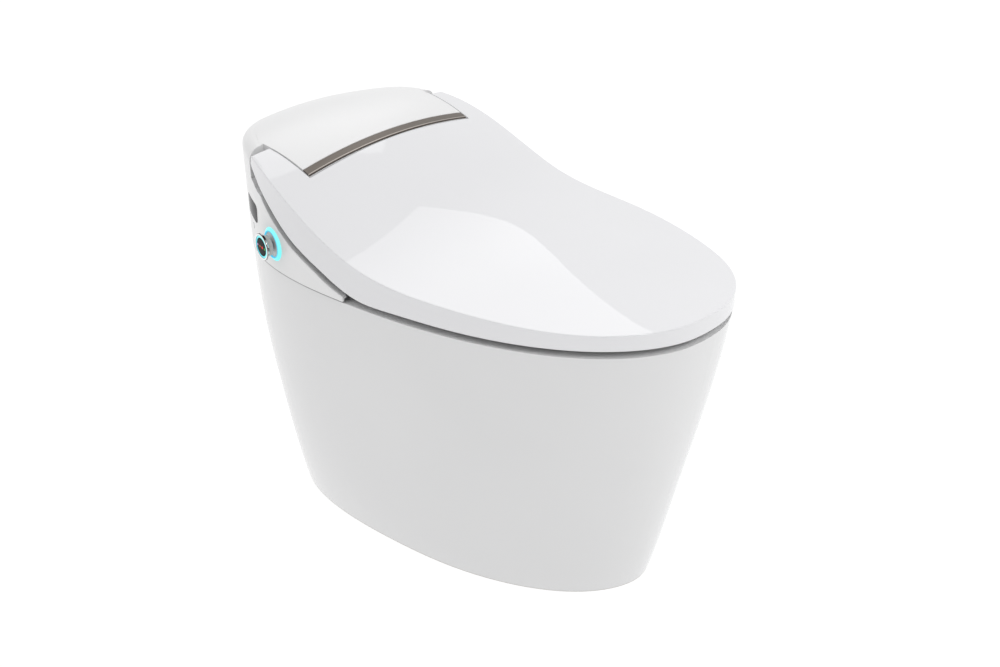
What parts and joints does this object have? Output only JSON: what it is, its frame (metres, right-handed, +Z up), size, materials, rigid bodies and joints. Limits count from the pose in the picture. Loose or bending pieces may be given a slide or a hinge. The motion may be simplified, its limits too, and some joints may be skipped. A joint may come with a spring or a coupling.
{
  "type": "smart toilet with heated seat",
  "caption": "One-piece skirted toilet with a heated bidet seat, soft-close lid, sliding wash nozzles, warm-air dryer, push-and-turn side knob and a rear wash unit.",
  "frame": {"origin": "centre of the waste outlet at floor level, under the pan", "axes": "+Z up, +Y towards the wall behind the toilet, -Y towards the user, X across"},
  "size_m": [0.4141, 0.6721, 0.5341],
  "materials": {
    "glaze": "fired glaze, high gloss",
    "rubber": "moulded, matte",
    "bumper": "soft white pads",
    "steel": "pressed and plated",
    "housing_white": "moulded, gloss",
    "unit_white": "moulded, gloss",
    "trim_bronze": "anodised warm grey, fine brushed",
    "dark_window": "smoked, polished",
    "status_grey": "translucent slot",
    "lid_white": "moulded, high gloss",
    "seat_white": "moulded, gloss",
    "heater_film": "printed film",
    "damper_grey": "moulded",
    "grey_plastic": "moulded, satin",
    "knob_seat": "moulded, satin",
    "cyan_light": "diffusing light ring",
    "encoder_black": "moulded",
    "knob_chrome": "polished",
    "display_black": "polished dark display",
    "wand_steel": "polished tube",
    "nozzle_white": "moulded",
    "motor_steel": "can",
    "valve_white": "moulded",
    "brass": "machined, plated thread"
  },
  "bodies": {
    "pan": {"ceramic_pan": "glaze", "outlet_seal": "rubber", "floor_brackets": "steel", "bracket_screws": "steel", "unit_gasket": "rubber", "base_plate": "grey_plastic", "unit_screws": "steel", "rear_housing": "housing_white", "top_cover": "housing_white", "trim_strip": "trim_bronze", "wash_unit_front": "unit_white", "sensor_window": "dark_window", "status_light": "status_grey", "hinge_pins": "steel", "hinge_brackets": "steel", "seat_damper": "damper_grey", "lid_damper": "damper_grey", "knob_base": "knob_seat", "knob_lamp": "cyan_light", "knob_encoder": "encoder_black", "nozzle_cassette": "grey_plastic", "nozzle_motors": "motor_steel", "dryer_duct": "grey_plastic", "fan_case": "grey_plastic", "fan_motor": "motor_steel", "flush_tank": "grey_plastic", "flush_pump": "motor_steel", "flush_pipe": "encoder_black", "water_heater": "valve_white", "inlet_valve": "valve_white", "control_box": "grey_plastic", "supply_box": "encoder_black", "water_inlet": "brass", "cord_gland": "rubber"},
    "seat": {"seat_top": "seat_white", "seat_bottom": "seat_white", "seat_heater": "heater_film", "seat_bumpers": "bumper"},
    "lid": {"lid_shell": "lid_white", "lid_panel": "lid_white", "lid_bumpers": "bumper"},
    "knob_push": {"knob_core": "knob_seat", "knob_lens": "display_black", "knob_halo": "cyan_light"},
    "knob_dial": {"knob_sleeve": "knob_chrome"},
    "rear_nozzle": {"rear_nozzle_tube": "wand_steel", "rear_nozzle_tip": "nozzle_white"},
    "front_nozzle": {"front_nozzle_tube": "wand_steel", "front_nozzle_tip": "nozzle_white"},
    "dryer_flap": {"dryer_flap": "grey_plastic"},
    "fan_wheel": {"fan_impeller": "grey_plastic"}
  },
  "joints": [
    {"name": "seat_hinge", "type": "hinge", "parent": "pan", "child": "seat", "pos_m": [0, 0.16, 0.5], "axis": [-1, 0, 0], "range_deg": [0, 95]},
    {"name": "lid_hinge", "type": "hinge", "parent": "seat", "child": "lid", "pos_m": [0, 0.16, 0.5], "axis": [1, 0, 0], "range_deg": [-105, 0]},
    {"name": "knob_press", "type": "slide", "parent": "pan", "child": "knob_push", "axis": [-0.9669, 0.255, 0], "range_m": [-0.002, 0], "stiffness_N_per_m": 400, "springref_m": 0.002},
    {"name": "knob_spin", "type": "hinge", "parent": "knob_push", "child": "knob_dial", "pos_m": [-0.18995, 0.1388, 0.4153], "axis": [-0.9669, 0.255, 0], "continuous": true},
    {"name": "rear_nozzle_slide", "type": "slide", "parent": "pan", "child": "rear_nozzle", "axis": [0, -0.9063, -0.4226], "range_m": [0, 0.105]},
    {"name": "front_nozzle_slide", "type": "slide", "parent": "pan", "child": "front_nozzle", "axis": [0, -0.9063, -0.4226], "range_m": [0, 0.105]},
    {"name": "dryer_flap_hinge", "type": "hinge", "parent": "pan", "child": "dryer_flap", "pos_m": [0.03, -0.0013, 0.3713], "axis": [-1, 0, 0], "range_deg": [0, 75]},
    {"name": "fan_spin", "type": "hinge", "parent": "pan", "child": "fan_wheel", "pos_m": [0.088, 0.112, 0.4], "axis": [0, 0, 1], "continuous": true}
  ]
}
